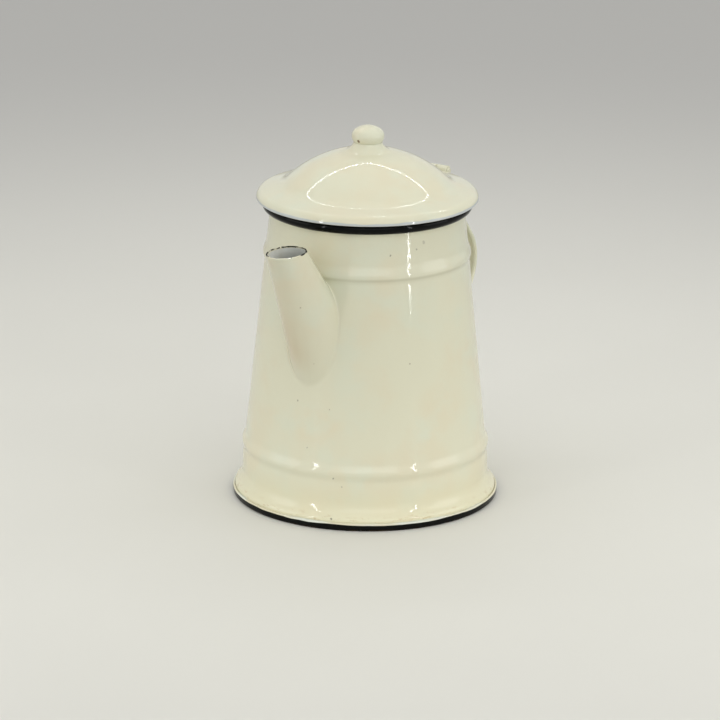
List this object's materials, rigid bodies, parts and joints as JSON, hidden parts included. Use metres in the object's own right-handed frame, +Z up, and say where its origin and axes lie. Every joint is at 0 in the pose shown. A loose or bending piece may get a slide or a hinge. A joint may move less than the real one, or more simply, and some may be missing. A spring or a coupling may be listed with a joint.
{
  "type": "enamelled coffee pot with hinged lid",
  "caption": "Tapered enamelled sheet-steel coffee pot with a beaded skirt, straight oval spout, channel ear handle and a domed knobbed lid hinged at the rim.",
  "frame": {"origin": "middle of the foot ring, on the plane that the pot stands on", "axes": "+Z up along the body's axis; +Y towards the hinge and the handle, so the spout points to -Y; +X along the hinge pin"},
  "size_m": [0.1283, 0.1799, 0.1824],
  "materials": {
    "cream_enamel": "gloss",
    "black_enamel": "gloss",
    "rim_steel": "satin"
  },
  "bodies": {
    "pot": {"body_shell": "cream_enamel", "rim_wire": "rim_steel", "base_plate": "black_enamel", "spout": "cream_enamel", "handle": "cream_enamel", "hinge_bracket": "cream_enamel", "hinge_pin": "rim_steel"},
    "lid": {"lid_shell": "cream_enamel", "lid_collar": "cream_enamel", "lid_leaf": "cream_enamel", "lid_knob": "cream_enamel"}
  },
  "joints": [
    {"name": "lid_hinge", "type": "hinge", "parent": "pot", "child": "lid", "pos_m": [0, 0.0575, 0.1486], "axis": [-1, 0, 0], "range_deg": [0, 105]}
  ]
}
